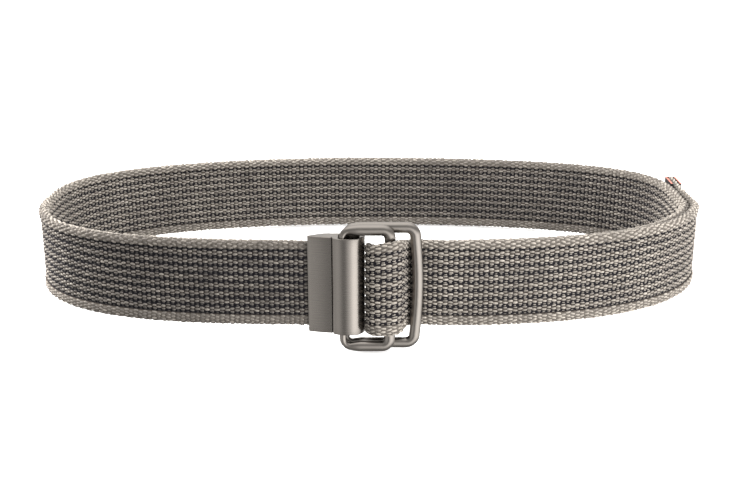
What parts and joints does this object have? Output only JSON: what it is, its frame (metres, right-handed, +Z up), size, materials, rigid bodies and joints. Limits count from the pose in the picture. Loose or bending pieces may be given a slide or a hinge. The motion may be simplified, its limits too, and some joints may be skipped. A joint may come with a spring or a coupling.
{
  "type": "canvas web belt",
  "caption": "Ribbed canvas web belt fastened in a loop, its tail threaded back through an oblong double-ring buckle hung from a folded metal clamp.",
  "frame": {"origin": "centre of the bounding box, on the floor the belt rests on", "axes": "+X along the loop's length, to the right of someone facing the buckle; -Y towards the buckle; +Z up"},
  "size_m": [0.3158, 0.1668, 0.0574],
  "materials": {
    "cotton": "ribbed weave, pale yarn over charcoal",
    "binding": "thin coated cloth with a coral cut edge",
    "metal": "fine brushed, warm grey"
  },
  "bodies": {
    "root": {"webbing": "cotton", "end_tab": "binding", "clamp_sleeve": "metal", "ring_narrow": "metal", "ring_wide": "metal"}
  },
  "joints": []
}
